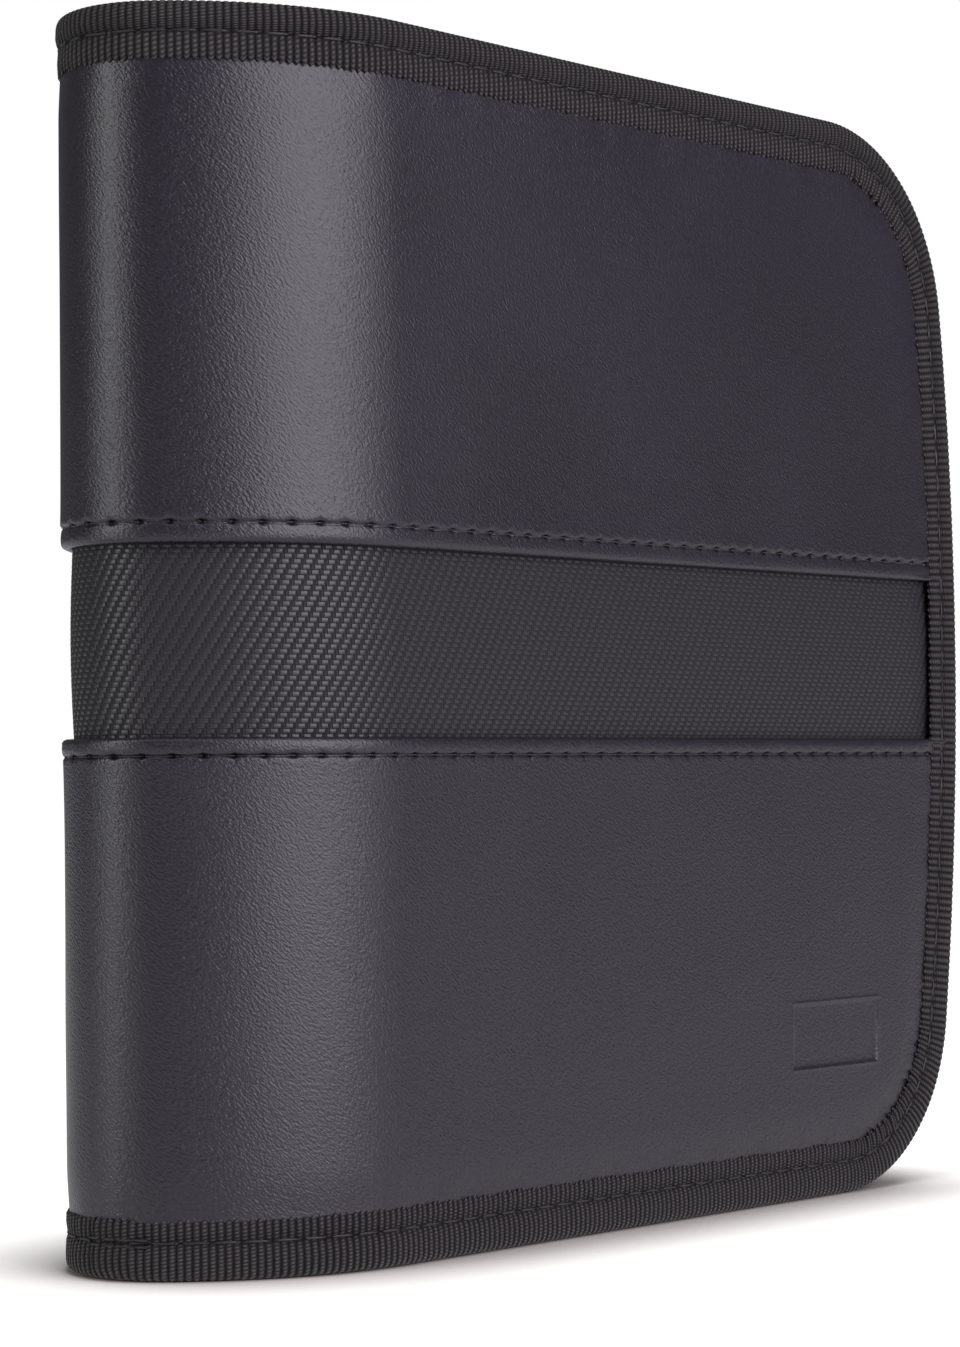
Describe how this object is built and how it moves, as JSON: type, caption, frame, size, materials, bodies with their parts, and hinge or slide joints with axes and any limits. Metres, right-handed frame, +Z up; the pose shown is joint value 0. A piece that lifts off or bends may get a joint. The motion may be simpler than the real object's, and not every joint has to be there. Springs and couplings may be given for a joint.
{
  "type": "disc storage case",
  "caption": "Padded book-style storage case for discs: dark pebbled covers with a woven band, ribbed tape round the rim, and clear-pocket leaves inside; both covers swing open.",
  "frame": {"origin": "middle of the footprint, on the surface that the case stands on", "axes": "+X from the spine to the opening edge, -Y out of the front cover, +Z up along the spine"},
  "size_m": [0.171, 0.0464, 0.165],
  "materials": {
    "skin": "pebbled coated cloth, satin, charcoal with a faint violet cast",
    "band": "black steep-twill woven webbing",
    "tape": "black ribbed binding tape",
    "foam": "closed-cell foam",
    "board": "pressed stiffener board",
    "lining": "plain black lining cloth",
    "leaf": "soft pale non-woven",
    "film": "clear polypropylene film"
  },
  "bodies": {
    "spine": {"spine_upper_skin": "skin", "spine_lower_skin": "skin", "spine_band": "band", "spine_foam": "foam", "spine_lining": "lining", "spine_top_tape": "tape", "spine_bottom_tape": "tape", "leaf_binding_strip": "lining", "leaf_01": "leaf", "leaf_02": "leaf", "leaf_03": "leaf", "leaf_04": "leaf", "leaf_05": "leaf", "leaf_06": "leaf", "leaf_07": "leaf", "leaf_08": "leaf", "leaf_09": "leaf", "leaf_10": "leaf", "pocket_01_front": "film", "pocket_01_back": "film", "pocket_02_front": "film", "pocket_02_back": "film", "pocket_03_front": "film", "pocket_03_back": "film", "pocket_04_front": "film", "pocket_04_back": "film", "pocket_05_front": "film", "pocket_05_back": "film", "pocket_06_front": "film", "pocket_06_back": "film", "pocket_07_front": "film", "pocket_07_back": "film", "pocket_08_front": "film", "pocket_08_back": "film", "pocket_09_front": "film", "pocket_09_back": "film", "pocket_10_front": "film", "pocket_10_back": "film"},
    "front_cover": {"front_upper_skin": "skin", "front_lower_skin": "skin", "front_band": "band", "front_foam": "foam", "front_board": "board", "front_lining": "lining", "front_slip_pocket": "lining", "front_edge_tape": "tape"},
    "back_cover": {"back_upper_skin": "skin", "back_lower_skin": "skin", "back_band": "band", "back_foam": "foam", "back_board": "board", "back_lining": "lining", "back_slip_pocket": "lining", "back_edge_tape": "tape"}
  },
  "joints": [
    {"name": "front_cover_hinge", "type": "hinge", "parent": "spine", "child": "front_cover", "pos_m": [-0.07802, -0.01744, 0], "axis": [0, 0, -1], "range_deg": [0, 93.5]},
    {"name": "back_cover_hinge", "type": "hinge", "parent": "spine", "child": "back_cover", "pos_m": [-0.07802, 0.01744, 0], "axis": [0, 0, 1], "range_deg": [0, 93.5]}
  ]
}
